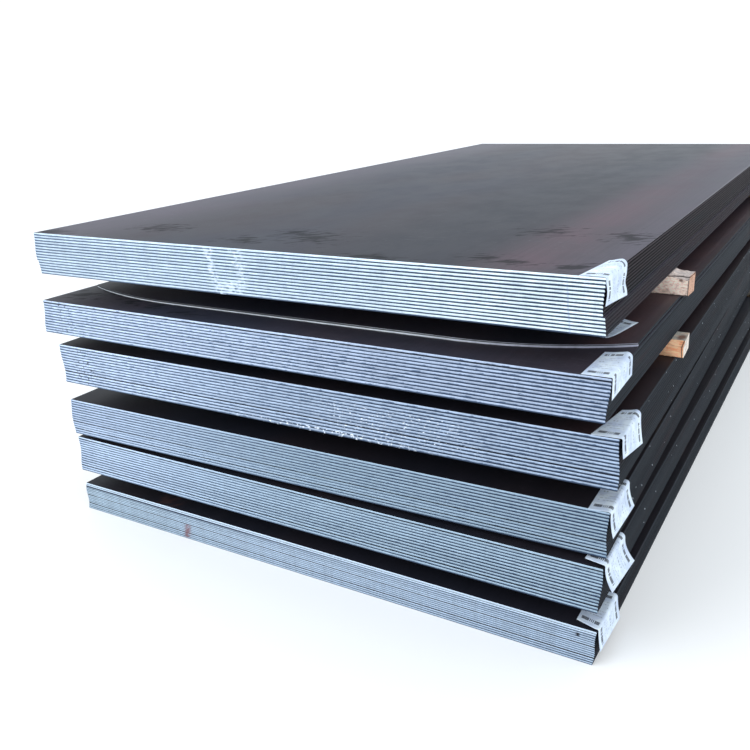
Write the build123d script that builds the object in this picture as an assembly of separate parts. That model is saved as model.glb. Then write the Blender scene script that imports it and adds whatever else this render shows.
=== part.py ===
from build123d import *
from dataclasses import dataclass
import math
import os

# A stack of hot rolled steel plate: six packs on timber bearers.
# X is across the plates, Y along them with the front ends at -Y, Z up.
# The origin is on the floor under the middle of the lowest pack. Millimetres.

# Plate stock
plate_width = 1250.0
plate_length = 2500.0
plate_thickness = 6.0
thin_plate_thickness = 4.5
mill_edge_bulge = 1.0  # the long edges stand out round, as the rolls left them
rollover_drop = 0.7  # a sheared end: the edge that the blade drew in, kept as a bevel
fracture_height = 2.4  # a sheared end: the part that tore, away from the blade
fracture_set_back = 0.5

# How neatly the plates of a pack lie
side_scatter = 1.2
end_scatter = 0.9
open_gap = 0.4  # more air where a pack was put together from several lifts

# The loose plate keeps the bowed end that the mill rolled
loose_plate_width = 1228.0  # its right side lies over the pack's
bow_set_back = 82.0  # its straight middle, behind the front of the pack that it lies on
left_round_reach = 283.0
left_round_depth = 58.0
right_round_reach = 295.0
right_round_depth = 90.0

# Timber bearers
long_bearer_length = 1306.0
middle_bearer_length = 1288.0
short_bearer_length = 1210.0
bearer_edge_radius = 1.5

# Paper labels
label_thickness = 0.3
label_lift = 0.3  # how far the paper stands off the steel
label_length = 128.0
label_width = 90.0
label_fold_radius = 2.0
loose_label_inset = 39.0  # from the loose plate's right side
loose_label_front = 173.0  # behind the front of the pack under the loose plate
loose_label_turn = -10.0


@dataclass
class Pack:
    plates: int
    thickness: float
    air_gap: float  # plates that aren't quite flat lie this far apart
    shift_x: float
    shift_y: float
    turn: float  # degrees about Z
    lean: float  # the top plate's shift to the right, from the lowest plate
    open_above: tuple  # plates, counted from 0 at the bottom, with an open gap above them
    label_tuck: float  # width of the label's upper side, on the top plate
    label_spring: float  # how far the paper's fold stands off the plate's edge
    label_flare: float  # degrees that the label's hanging side swings out
    slipped: int = 0  # this many plates at the bottom slid to the right
    slip: float = 0.0


@dataclass
class Bearers:
    height: float
    depth: float
    front_y: float  # middle of the front bearer
    back_y: float
    length: float
    wane_depth: float  # bark edge that the saw missed, along the upper front edge
    wane_height: float
    turn: float  # degrees about Z, the back one laid as far the other way


# Both lists run from the floor up.
packs = [
    Pack(15, thin_plate_thickness, 0.04, 0.0, 0.0, 0.0, 4.5, (2, 7, 13), 42.0, 5.0, 4.0),
    Pack(14, plate_thickness, 0.20, 1.0, -1.5, 0.15, 3.7, (1, 12), 36.0, 6.0, 17.0),
    Pack(14, plate_thickness, 0.05, -18.5, 3.0, 1.10, 0.5, (1, 4), 38.0, 3.0, 17.0),
    Pack(14, plate_thickness, 0.38, 3.0, -14.0, 0.83, -1.6, (3,), 44.0, 2.0, 7.0),
    Pack(12, plate_thickness, 0.05, -1.5, -34.5, 0.33, 3.5, (10,), 50.0, 0.5, 2.0),
    Pack(15, plate_thickness, 0.05, -28.0, -9.0, 0.53, -1.7, (), 46.0, 0.5, 1.0, 5, 3.0),
]
bearers = [
    Bearers(37.0, 75.0, -436.0, 720.0, short_bearer_length, 6.0, 8.0, 0.59),
    Bearers(11.0, 60.0, -760.0, 735.0, short_bearer_length, 3.0, 4.0, 0.36),
    Bearers(51.0, 70.0, -775.0, 750.0, short_bearer_length, 7.0, 10.0, -0.60),
    Bearers(32.0, 84.0, -783.0, 745.0, long_bearer_length, 30.0, 22.0, -0.44),
    Bearers(47.0, 52.0, -745.0, 740.0, middle_bearer_length, 5.0, 9.0, 0.32),
]
loose_plate_on = 4  # the pack that carries the loose plate, counted from 0


def scatter(index, seed):
    # uneven but the same every time, from -1 to 1
    return math.sin(12.9898 * index + 4.1414 * seed)


def sheared_outline(thickness):
    # Side view of a plate. The blade drew in the upper edge of the front end and, on the
    # other side of the cut, the lower edge of the back end.
    half = plate_length / 2
    torn = (-half + fracture_set_back, 0)
    land_foot = (-half, fracture_height)
    land_head = (-half, thickness - rollover_drop)
    drawn_in = (-half + rollover_drop, thickness)
    middle = Pos(0, thickness / 2)
    front = Polyline(torn, land_foot, land_head, drawn_in)
    back = middle * Rot(0, 0, 180) * middle.inverse() * front
    return make_hull(front.edges() + back.edges())


def rolled_strip(width, thickness):
    # flat above and below, with a shallow arc down each long edge
    flat = width / 2 - mill_edge_bulge
    section = Line((-flat, 0), (flat, 0))
    section += SagittaArc((flat, 0), (flat, thickness), -mill_edge_bulge)
    section += Line((flat, thickness), (-flat, thickness))
    section += SagittaArc((-flat, thickness), (-flat, 0), -mill_edge_bulge)
    return extrude(Plane.XZ * make_face(section), plate_length / 2, both=True)


def plate(thickness):
    cut = extrude(Plane.YZ * sheared_outline(thickness), plate_width / 2, both=True)
    return (rolled_strip(plate_width, thickness) & cut).solid()


def plate_offset(pack, number, index):
    # where one plate lies across and along its pack
    across = pack.lean * (index / (pack.plates - 1) - 0.5)
    across += side_scatter * scatter(index, number)
    if index < pack.slipped:
        across += pack.slip
    along = end_scatter * scatter(index + 0.5, number)
    return across, along


def plate_base(pack, index):
    # height of a plate's underside above its pack's underside
    opened = sum(1 for below in pack.open_above if below < index)
    return index * (pack.thickness + pack.air_gap) + opened * open_gap


def pack_height(pack):
    return plate_base(pack, pack.plates - 1) + pack.thickness


def pack_place(pack, base):
    return Pos(pack.shift_x, pack.shift_y, base) * Rot(0, 0, pack.turn)


def plate_pack(pack, number, base):
    blank = plate(pack.thickness)
    pieces = []
    for index in range(pack.plates):
        across, along = plate_offset(pack, number, index)
        lie = Pos(across, along, plate_base(pack, index))
        pieces.append(pack_place(pack, base) * lie * blank)
    return Compound(pieces)


def loose_plate():
    # Outline seen from above: a straight middle and two round corners at the bowed end.
    right = plate_width / 2
    left = right - loose_plate_width
    half_length = plate_length / 2
    front = -half_length + bow_set_back
    left_foot = (left + left_round_reach, front)
    right_foot = (right - right_round_reach, front)
    left_corner = (left, front + left_round_depth)
    right_corner = (right, front + right_round_depth)
    outline = TangentArc(left_foot, left_corner, tangent=(-1, 0))
    outline += Line(left_foot, right_foot)
    outline += TangentArc(right_foot, right_corner, tangent=(1, 0))
    outline += Polyline(
        right_corner,
        (right, half_length),
        (left, half_length),
        left_corner,
    )
    cut = extrude(make_face(outline), plate_thickness)
    strip = Pos((left + right) / 2, 0, 0) * rolled_strip(loose_plate_width, plate_thickness)
    return (strip & cut).solid()


def bearer(row):
    half = row.depth / 2
    section = Polygon(
        (-half, 0),
        (half, 0),
        (half, row.height),
        (-half + row.wane_depth, row.height),
        (-half, row.height - row.wane_height),
        align=None,
    )
    section = fillet(section.vertices(), bearer_edge_radius)
    return extrude(Plane.YZ * section, row.length / 2, both=True).solid()


def label_drop(pack):
    return label_width - pack.label_tuck


def right_side(pack, number):
    # how far right the plates behind a hanging label reach
    foot = pack_height(pack) - label_drop(pack)
    reach = []
    for index in range(pack.plates):
        if plate_base(pack, index) + pack.thickness > foot:
            reach.append(plate_offset(pack, number, index)[0])
    return plate_width / 2 + max(reach)


def front_end(pack, number):
    # how far forward the foremost plate of a pack reaches
    reach = [plate_offset(pack, number, index)[1] for index in range(pack.plates)]
    return -plate_length / 2 + min(reach)


def label(pack, number):
    # One strip, folded over the pack's right edge: tucked in on top, hanging at the side.
    flare = math.radians(pack.label_flare)
    drop = label_drop(pack)
    stand_off = label_lift + label_thickness / 2
    tuck_z = pack_height(pack) + stand_off
    fold_x = right_side(pack, number) + stand_off + pack.label_spring
    fold_z = tuck_z + pack.label_spring
    inner = (fold_x - pack.label_tuck, tuck_z)
    hem = (fold_x + drop * math.sin(flare), fold_z - drop * math.cos(flare))
    path = FilletPolyline(inner, (fold_x, fold_z), hem, radius=label_fold_radius)
    strip = extrude(Plane.XZ * trace(path, label_thickness), -label_length)
    return Pos(0, front_end(pack, number), 0) * strip.solid()


def loose_label():
    # lies flat on the loose plate
    x = plate_width / 2 - loose_label_inset - label_width / 2
    y = -plate_length / 2 + loose_label_front + label_length / 2
    paper = extrude(Rectangle(label_width, label_length), label_thickness)
    return Pos(x, y, plate_thickness + label_lift) * Rot(0, 0, loose_label_turn) * paper.solid()


def save(name, shape):
    shape.label = name
    export_step(shape, f"parts/{name}.step")


def save_bearers(pair, row, base):
    timber = bearer(pair)
    for side, y, turn in (("front", pair.front_y, pair.turn), ("back", pair.back_y, -pair.turn)):
        save(f"bearer_{row}_{side}", Pos(0, y, base) * Rot(0, 0, turn) * timber)


def main():
    os.makedirs("parts", exist_ok=True)
    base = 0.0
    for number, pack in enumerate(packs):
        row = number + 1
        save(f"plate_pack_{row}", plate_pack(pack, number, base))
        save(f"label_{row}", pack_place(pack, base) * label(pack, number))
        base += pack_height(pack)
        if number == loose_plate_on:
            save("loose_plate", pack_place(pack, base) * loose_plate())
            save("loose_label", pack_place(pack, base) * loose_label())
            base += plate_thickness
        if number < len(bearers):
            save_bearers(bearers[number], row, base)
            base += bearers[number].height
    print("stack height", round(base, 2))


main()
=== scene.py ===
import math
import random

import bmesh
import bpy
from mathutils import Matrix, Vector, noise


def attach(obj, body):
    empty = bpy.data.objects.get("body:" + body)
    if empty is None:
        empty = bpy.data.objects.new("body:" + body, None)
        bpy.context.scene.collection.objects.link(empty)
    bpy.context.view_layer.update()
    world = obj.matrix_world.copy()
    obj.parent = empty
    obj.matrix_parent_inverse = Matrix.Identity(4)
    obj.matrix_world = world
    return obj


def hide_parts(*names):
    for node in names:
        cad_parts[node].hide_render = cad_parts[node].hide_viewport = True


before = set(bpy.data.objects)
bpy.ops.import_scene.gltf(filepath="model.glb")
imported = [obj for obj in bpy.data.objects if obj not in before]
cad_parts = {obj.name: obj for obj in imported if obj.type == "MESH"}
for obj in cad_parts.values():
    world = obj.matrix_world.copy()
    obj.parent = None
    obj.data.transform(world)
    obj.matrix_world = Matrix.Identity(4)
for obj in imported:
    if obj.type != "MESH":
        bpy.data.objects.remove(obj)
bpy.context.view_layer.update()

mm = 0.001
weldDistance = 1e-6
creaseAngle = 0.02  # radians; flatter edges of a CAD mesh are only its triangles
alongShare = 0.3  # an edge runs along a solid when it goes less than this share across


def srgb(red, green, blue):
    # a colour given from 0 to 255, as the shader takes it
    def linear(value):
        share = value / 255
        return share / 12.92 if share <= 0.04045 else ((share + 0.055) / 1.055) ** 2.4
    return (linear(red), linear(green), linear(blue), 1.0)


class Graph:
    # short calls for a node tree, where a value is a number, a colour or another node's output
    def __init__(self, tree):
        self.tree = tree

    def node(self, kind, inputs=None, **settings):
        made = self.tree.nodes.new(kind)
        for key, value in settings.items():
            setattr(made, key, value)
        for key, value in (inputs or {}).items():
            self.feed(made.inputs[key], value)
        return made

    def out(self, kind, inputs=None, **settings):
        return self.node(kind, inputs, **settings).outputs[0]

    def feed(self, socket, value):
        if isinstance(value, bpy.types.NodeSocket):
            self.tree.links.new(value, socket)
        else:
            socket.default_value = value

    def calc(self, operation, first, second=0.0):
        return self.out("ShaderNodeMath", {0: first, 1: second}, operation=operation)

    def times(self, product, *factors):
        for factor in factors:
            product = self.calc("MULTIPLY", product, factor)
        return product

    def plus(self, first, second):
        return self.calc("ADD", first, second)

    def minus(self, first, second):
        return self.calc("SUBTRACT", first, second)

    def away(self, value, middle):
        return self.calc("ABSOLUTE", self.minus(value, middle))

    def vector(self, x, y, z):
        return self.out("ShaderNodeCombineXYZ", {0: x, 1: y, 2: z})

    def parts(self, vector):
        return self.node("ShaderNodeSeparateXYZ", {0: vector}).outputs

    def noise(self, vector, detail, rough=0.5, scale=1.0):
        inputs = {"Vector": vector, "Scale": scale, "Detail": detail, "Roughness": rough}
        return self.out("ShaderNodeTexNoise", inputs)

    def ease(self, value, low, high, start=0.0, end=1.0):
        # a soft step from start to end while value goes from low to high
        inputs = {"Value": value, "From Min": low, "From Max": high, "To Min": start, "To Max": end}
        return self.out("ShaderNodeMapRange", inputs, interpolation_type="SMOOTHSTEP")


class Finish(Graph):
    # a material, with patterns laid on the piece's own coordinates
    def __init__(self, name):
        self.material = bpy.data.materials.new(name)
        self.material.use_nodes = True
        super().__init__(self.material.node_tree)
        self.shader = self.tree.nodes["Principled BSDF"]
        self.place = self.node("ShaderNodeTexCoord").outputs["Object"]
        self.x, self.y, self.z = self.parts(self.place)

    def set(self, **values):
        # Base_Color is the shader's "Base Color", and so on
        for key, value in values.items():
            self.feed(self.shader.inputs[key.replace("_", " ")], value)

    def cloud(self, scale, detail, rough, offset=(0, 0, 0)):
        # noise with a scale along each axis
        inputs = {"Vector": self.place, "Scale": scale, "Location": offset}
        return self.noise(self.out("ShaderNodeMapping", inputs), detail, rough)

    def clouds(self, look, *names):
        return [self.cloud(*look[name]) for name in names]

    def blend(self, share, first, second):
        return self.node("ShaderNodeMix", {0: share, 6: first, 7: second}, data_type="RGBA").outputs[2]

    def scaled(self, colour, factor):
        return self.out("ShaderNodeVectorMath", {0: colour, "Scale": factor}, operation="SCALE")

    def attribute(self, name):
        return self.node("ShaderNodeAttribute", attribute_name=name).outputs["Fac"]

    def patch(self, centre, size, ragged, stroke, turn=0.0, sparse=0.0):
        # a soft-edged spot on the surface, broken up into strokes
        shifted = self.out("ShaderNodeVectorMath", {0: self.place, 1: centre}, operation="SUBTRACT")
        sized = self.out("ShaderNodeVectorMath", {0: shifted, 1: size}, operation="DIVIDE")
        away = self.node("ShaderNodeVectorMath", {0: sized}, operation="LENGTH").outputs[1]
        inputs = {"Vector": self.place, "Rotation": (0, 0, turn), "Scale": stroke}
        strokes = self.out("ShaderNodeMapping", inputs, vector_type="TEXTURE")
        broken = self.times(self.noise(strokes, 4.0, 0.6), 2 * ragged)
        reach = ragged - sparse
        return self.ease(self.plus(away, broken), 1.0 + reach, 0.3 + reach)

    def bump(self, height, distance, strength):
        return self.out("ShaderNodeBump", {"Height": height, "Distance": distance, "Strength": strength})


def readIslands(nodeName, axis):
    # Each loose solid of a CAD node: middle, sizes and turn about Z. axis is the long one.
    merged = bmesh.new()
    merged.from_mesh(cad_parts[nodeName].data)
    bmesh.ops.remove_doubles(merged, verts=merged.verts, dist=weldDistance)
    seen = set()
    islands = []
    for start in merged.verts:
        if start in seen:
            continue
        seen.add(start)
        queue = [start]
        group = []
        while queue:
            vert = queue.pop()
            group.append(vert)
            for edge in vert.link_edges:
                other = edge.other_vert(vert)
                if other not in seen:
                    seen.add(other)
                    queue.append(other)
        islands.append(measureIsland(group, axis))
    merged.free()
    return sorted(islands, key=lambda item: item["bottom"])


def measureIsland(group, axis):
    across = 1 - axis
    edges = {edge for vert in group for edge in vert.link_edges if edge.calc_face_angle(0.0) > creaseAngle}
    runs = [edge.verts[1].co - edge.verts[0].co for edge in edges]
    lengthwise = [run for run in runs if abs(run[across]) < alongShare * abs(run[axis])]
    run = max(lengthwise, key=lambda item: item.length)
    run = run * math.copysign(1, run[axis])
    turn = math.atan2(run.y, run.x) - (math.pi / 2 if axis == 1 else 0)
    back = Matrix.Rotation(-turn, 4, "Z")
    local = [back @ vert.co for vert in group]
    low = Vector([min(point[i] for point in local) for i in range(3)])
    high = Vector([max(point[i] for point in local) for i in range(3)])
    middle = Matrix.Rotation(turn, 4, "Z") @ ((low + high) / 2)
    return {"turn": turn, "middle": middle, "size": high - low, "bottom": low.z, "top": high.z}


def addObject(name, data):
    added = bpy.data.objects.new(name, data)
    bpy.context.scene.collection.objects.link(added)
    return added


def dressPiece(piece, node):
    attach(piece, "root")
    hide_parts(node)


def bakeModifiers(piece):
    # the evaluated result becomes the piece's own plain mesh
    graph = bpy.context.evaluated_depsgraph_get()
    mesh = bpy.data.meshes.new_from_object(piece.evaluated_get(graph))
    mesh.name = piece.name
    old = piece.data
    piece.modifiers.clear()
    piece.data = mesh
    bpy.data.meshes.remove(old)


def smoothShade(mesh, degrees):
    mesh.polygons.foreach_set("use_smooth", [True] * len(mesh.polygons))
    mesh.set_sharp_from_angle(angle=math.radians(degrees))


# Finishes of the steel. In a look, a pattern of noise is its scale along X, Y and Z, its detail and its
# roughness. A step is the noise's level from and to, with the values there. Relief is depth and strength.

scaleLook = {
    "cool": srgb(47, 49, 62),
    "warm": srgb(55, 50, 58),
    "deep": srgb(38, 42, 52),
    "pale": srgb(96, 90, 102),
    "smudge": srgb(17, 19, 23),
    "rust": srgb(92, 66, 66),
    "rose": srgb(92, 72, 82),
    "scratch": srgb(98, 101, 110),
    "rustShare": 0.7,
    "greaseRough": 0.14,  # smudges are duller than the scale round them
    "greaseShare": 0.72,
    "gloss": 0.172,
    "broad": ((2.6, 1.3, 1.0), 3.0, 0.5),
    "mottle": ((13, 9, 1.0), 6.0, 0.62),
    "streak": ((260, 2.2, 1.0), 3.0, 0.6),
    "grain": ((900, 900, 900), 2.0, 0.5),
    "scratches": ((7, 46, 1.0), 2.0, 0.4, (3.1, 1.7, 0)),
    "warmStep": (0.36, 0.62),
    "deepStep": (0.60, 0.34, 0.0, 0.35),
    "bandMottle": (0.30, 0.66, 0.6, 1.0),
    "bandBroad": (0.30, 0.60, 0.6, 1.0),
    "scratchLine": (0.004, 0.0, 0.0, 0.35),
    "scratchFrom": (0.5, 0.62),
    "streakTone": (0.25, 0.75, 0.92, 1.08),
    "grainTone": (0.3, 0.7, 0.93, 1.07),
    "roughStep": (0.3, 0.7, 0.42, 0.47),
    "streakHeight": 0.6,
    "grainHeight": 0.4,
    "relief": (0.12 * mm, 0.5),
}


def scaleFinish(name, tone, smudges=(), rust=(), bands=()):
    # mill scale, with bands along the plate, rust and greasy smudges
    look = scaleLook
    skin = Finish(name)
    broad, mottle, streak, grain = skin.clouds(look, "broad", "mottle", "streak", "grain")
    colour = skin.blend(skin.ease(broad, *look["warmStep"]), look["cool"], look["warm"])
    colour = skin.blend(skin.ease(mottle, *look["deepStep"]), colour, look["deep"])
    for band in bands:
        share = skin.ease(skin.away(skin.x, band["x"]), band["reach"], 0.0)
        cloudy = skin.times(skin.ease(mottle, *look["bandMottle"]), skin.ease(broad, *look["bandBroad"]))
        colour = skin.blend(skin.times(share, cloudy, band["share"]), colour, look[band["colour"]])
    for spot in rust:
        colour = skin.blend(skin.times(skin.patch(**spot), look["rustShare"]), colour, look["rust"])
    grease = 0.0
    for spot in smudges:
        grease = skin.calc("MAXIMUM", grease, skin.patch(**spot))
    colour = skin.blend(skin.times(grease, look["greaseShare"]), colour, look["smudge"])
    scratch = skin.ease(skin.away(skin.cloud(*look["scratches"]), 0.5), *look["scratchLine"])
    scratch = skin.times(scratch, skin.ease(broad, *look["scratchFrom"]))
    colour = skin.blend(scratch, colour, look["scratch"])
    # tone is painted shade: darker copies of the scale for tops that lie under another pack
    shade = skin.times(skin.ease(streak, *look["streakTone"]), skin.ease(grain, *look["grainTone"]), tone)
    rough = skin.plus(skin.ease(mottle, *look["roughStep"]), skin.times(grease, look["greaseRough"]))
    height = skin.plus(skin.times(streak, look["streakHeight"]), skin.times(grain, look["grainHeight"]))
    skin.set(Base_Color=skin.scaled(colour, shade), Roughness=rough, Specular_IOR_Level=look["gloss"])
    skin.set(Normal=skin.bump(height, *look["relief"]))
    return skin.material


markLook = {
    "drift": ((30, 1.0, 75), 3.0, 0.6),
    "speckle": (4.0, 0.65),
    "solid": 0.7,  # share of a mark's height before it fades
}


def markShare(skin, mark):
    # a mark on the front ends: where it lies along X and Z, how it leans, and how broken it is
    over = skin.minus(skin.z, mark["z"])
    aside = skin.minus(skin.minus(skin.x, mark["x"]), skin.times(over, mark["lean"]))
    if mark["wobble"]:
        drift = skin.minus(skin.cloud(*markLook["drift"]), 0.5)
        aside = skin.plus(aside, skin.times(drift, mark["wobble"]))
    wide = skin.ease(skin.calc("ABSOLUTE", aside), mark["reach"], mark["core"])
    tall = skin.ease(skin.calc("ABSOLUTE", over), mark["tall"], markLook["solid"] * mark["tall"])
    speckle = skin.cloud((mark["grain"], 1.0, mark["grainZ"]), *markLook["speckle"])
    atFront = skin.calc("LESS_THAN", skin.y, 0.0)
    return skin.times(wide, tall, atFront, skin.ease(speckle, *mark["cut"]), mark["share"])


def paintMarks(skin, colour, marks):
    for mark in marks:
        colour = skin.blend(markShare(skin, mark), colour, mark["colour"])
    return colour


landLook = {
    "stain": srgb(112, 132, 160),
    "metal": 0.85,
    "brush": ((900, 1.0, 60), 3.0, 0.6),
    "bands": ((85, 1.0, 7), 4.0, 0.6),
    "beads": ((38, 1.0, 330), 3.0, 0.6),
    "stains": ((6, 1.0, 12), 4.0, 0.6),
    "breaks": ((62, 1.0, 230), 4.0, 0.7),
    "stainStep": (0.54, 0.76),
    "stainShare": 0.7,
    "brushStep": (0.25, 0.75),
    "brushDark": 0.5,
    "brushBright": 0.35,
    "bandStep": (0.30, 0.70),
    "bandBright": 1.04,
    "beadStep": (0.28, 0.72),
    "beadBright": 1.08,
    "tearStep": (0.43, 0.37, 0.0, 0.9),  # the dark line, by its height on the plate's end
    "roughStep": (0.3, 0.7, 0.30, 0.50),
    "relief": (0.08 * mm, 0.6),
}


def landFinish(name, own):
    # the bright band that the blade burnished, in fine upright scratches
    look = landLook
    contrast = own["contrast"]
    skin = Finish(name)
    brush, bands, beads, stains, breaks = skin.clouds(look, "brush", "bands", "beads", "stains", "breaks")
    # painted light: the end's colour changes from one side to the other as the light falls
    colour = skin.blend(skin.ease(skin.x, *own["lightTurnAt"]), own["left"], own["right"])
    stained = skin.ease(stains, *look["stainStep"], 0.0, look["stainShare"] * contrast)
    colour = skin.blend(stained, colour, look["stain"])
    brushDark, brushBright = 1 - look["brushDark"] * contrast, 1 + look["brushBright"] * contrast
    shade = skin.times(
        skin.ease(brush, *look["brushStep"], brushDark, brushBright),
        skin.ease(bands, *look["bandStep"], 1 - own["upright"] * contrast, look["bandBright"]),
        skin.ease(beads, *look["beadStep"], 1 - own["beads"] * contrast, look["beadBright"]),
        skin.attribute("tone"),
    )
    rise = skin.minus(skin.attribute("height"), skin.times(skin.minus(breaks, 0.5), own["broken"]))
    colour = skin.blend(skin.ease(rise, *look["tearStep"]), skin.scaled(colour, shade), tornTint(skin, own))
    colour = paintMarks(skin, colour, own["marks"])
    skin.set(Base_Color=colour, Roughness=skin.ease(bands, *look["roughStep"]), Metallic=look["metal"])
    skin.set(Normal=skin.bump(brush, *look["relief"]))
    return skin.material


tornLook = {
    "bright": srgb(150, 166, 188),
    "lightTurnAt": (-0.5, 0.55),
    "grit": ((420, 60, 420), 4.0, 0.65),
    "patches": ((22, 1.0, 180), 3.0, 0.6),
    "gritStep": (0.54, 0.80, 0.0, 0.45),
    "patchStep": (0.60, 0.76, 0.0, 0.45),
    "rough": 0.72,
    "metal": 0.55,
    "relief": (0.3 * mm, 0.8),
}


# painted light: the torn band's colour changes from one side to the other as the light falls
def tornTint(skin, own):
    return skin.blend(skin.ease(skin.x, *tornLook["lightTurnAt"]), own["tornLeft"], own["tornRight"])


def tornFinish(name, own):
    # the dark, grainy band where the steel broke
    look = tornLook
    skin = Finish(name)
    grit, patches = skin.clouds(look, "grit", "patches")
    colour = skin.blend(skin.ease(grit, *look["gritStep"]), tornTint(skin, own), look["bright"])
    colour = skin.blend(skin.ease(patches, *look["patchStep"]), colour, look["bright"])
    # painted shade of the gaps between plates: darker towards the underside, darker still over an open gap
    foot = skin.ease(skin.attribute("foot"), 0.0, 1.0, 1.0, own["tornFoot"])
    colour = skin.scaled(colour, skin.times(foot, skin.attribute("seam")))
    colour = paintMarks(skin, colour, own["marks"])
    skin.set(Base_Color=colour, Roughness=look["rough"], Metallic=look["metal"])
    skin.set(Normal=skin.bump(grit, *look["relief"]))
    return skin.material


edgeLook = {
    "colour": srgb(44, 49, 56),
    "brown": srgb(52, 45, 50),
    "worn": srgb(70, 74, 82),
    "speck": srgb(200, 208, 218),
    "speckCells": 42.0,
    "speckSize": 0.08,
    "speckCore": 0.6,
    "gloss": 0.03,
    "rough": 0.62,
    "broad": ((1.0, 2.4, 30), 4.0, 0.6),
    "fine": ((1.0, 30, 900), 3.0, 0.6),
    "brownFrom": 0.42,
    "brownSpan": 0.26,
    "warmShift": 0.3,
    "wornStep": (0.55, 0.80, 0.0, 0.5),
    "relief": (0.2 * mm, 0.5),
}


def edgeFinish(name, own):
    # the rolled long edges: near-black scale, with painted shade where two plates meet, and a few pale flecks
    look = edgeLook
    skin = Finish(name)
    broad, fine = skin.clouds(look, "broad", "fine")
    brownFrom = look["brownFrom"] - look["warmShift"] * own["edgeWarm"]
    brown = skin.ease(broad, brownFrom, brownFrom + look["brownSpan"])
    colour = skin.blend(brown, look["colour"], look["brown"])
    colour = skin.blend(skin.ease(fine, *look["wornStep"]), colour, look["worn"])
    # painted shade where two plates meet, towards the top and bottom of each edge
    groove = skin.times(skin.ease(skin.attribute("valley"), *own["valley"]), skin.attribute("groove"))
    tone = skin.attribute("tone")
    colour = skin.scaled(colour, skin.times(tone, tone, own["edgeTone"], skin.minus(1.0, groove)))
    if own["specks"]:
        inputs = {"Vector": skin.vector(skin.y, skin.z, 0.0), "Scale": look["speckCells"]}
        cells = skin.node("ShaderNodeTexVoronoi", inputs, voronoi_dimensions="2D").outputs
        chosen = skin.calc("GREATER_THAN", skin.parts(cells["Color"])[0], 1 - own["specks"])
        dot = skin.ease(cells["Distance"], look["speckSize"], look["speckCore"] * look["speckSize"])
        colour = skin.blend(skin.times(dot, chosen), colour, look["speck"])
    skin.set(Base_Color=colour, Roughness=look["rough"], Specular_IOR_Level=look["gloss"])
    skin.set(Normal=skin.bump(fine, *look["relief"]))
    return skin.material


# the packs: one plate, laid again and again on the seats that the CAD packs give

plateShape = {
    "fractureHeight": 2.4 * mm,
    "fractureSetBack": 0.5 * mm,
    "rollover": 0.7 * mm,
    "rollRows": (0.0, 0.25, 0.6, 1.0),  # shares of the drawn-in edge
    "scaledRoll": 0.25,  # share of the drawn-in edge that kept its scale
    "edgeBulge": 1.0 * mm,
    "endSegments": 100,
    "sideSegments": 16,
    "raggedReach": 1.0 * mm,  # how far from the tear line the rows move with it
    "tearMost": 0.9 * mm,
    "cornerReach": 34 * mm,  # the dark band is higher towards the left corner
    "climbFrom": 0.15,
    "climbTo": 0.60,
    "sharpAngle": 24,
}
zoneFace, zoneLand, zoneTorn, zoneEdge = range(4)


def plateRows(thickness):
    roll = plateShape["rollover"]
    torn = plateShape["fractureHeight"]
    low = [share * roll for share in plateShape["rollRows"]] + [(roll + torn) / 2, torn]
    both = [round(z, 7) for z in low] + [round(thickness - z, 7) for z in low]
    return sorted(set(both))


def endInset(z, thickness):
    # how far the front end lies back: torn slope below, flat land, drawn-in edge above
    torn = plateShape["fractureHeight"]
    roll = plateShape["rollover"]
    if z < torn:
        return plateShape["fractureSetBack"] * (1 - z / torn)
    rise = max(0.0, z - (thickness - roll))
    return roll - math.sqrt(max(0.0, roll ** 2 - rise ** 2))


def sideInset(z, thickness):
    bulge = plateShape["edgeBulge"]
    radius = ((thickness / 2) ** 2 + bulge ** 2) / (2 * bulge)
    return radius - math.sqrt(radius ** 2 - (z - thickness / 2) ** 2)


def straightFront(x):
    return 0.0


def plateRing(z, size, frontLine):
    # one row of stations round the plate: front left to right, right side, back, left side
    width, length, thickness = size
    ends, sides = plateShape["endSegments"], plateShape["sideSegments"]
    half = width / 2 - sideInset(z, thickness)
    back = length / 2 - endInset(thickness - z, thickness)
    front = -length / 2 + endInset(z, thickness)
    rightStart, leftStart = front + frontLine(half), front + frontLine(-half)
    xs = [half * (2 * i / ends - 1) for i in range(ends + 1)]
    ring = [(x, front + frontLine(x)) for x in xs[:-1]]
    ring += [(half, rightStart + (back - rightStart) * i / sides) for i in range(sides)]
    ring += [(x, back) for x in reversed(xs[1:])]
    ring += [(-half, back + (leftStart - back) * i / sides) for i in range(sides)]
    return ring


def stationMarks(i, fromLeft, z, thickness):
    # what the pack's tree and the finishes need to know about one station
    ends, sides = plateShape["endSegments"], plateShape["sideSegments"]
    torn = plateShape["fractureHeight"]
    atFront = i <= ends
    atBack = ends + sides <= i <= 2 * ends + sides
    up = z if atFront else thickness - z
    tornHere = (atFront and 0 < z < torn) or (atBack and thickness - torn < z < thickness)
    atEnd = atFront or atBack
    return {
        "ragged": max(0.0, 1 - abs(up - torn) / plateShape["raggedReach"]) if atEnd else 0.0,
        "rough": 0.0 if not tornHere else 1.0 if atFront else -1.0,
        "valley": abs(2 * z / thickness - 1),
        "foot": max(0.0, 1 - up / torn),
        "corner": max(0.0, 1 - fromLeft / plateShape["cornerReach"]) if atFront else 0.0,
        "height": up / thickness,
    }


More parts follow.
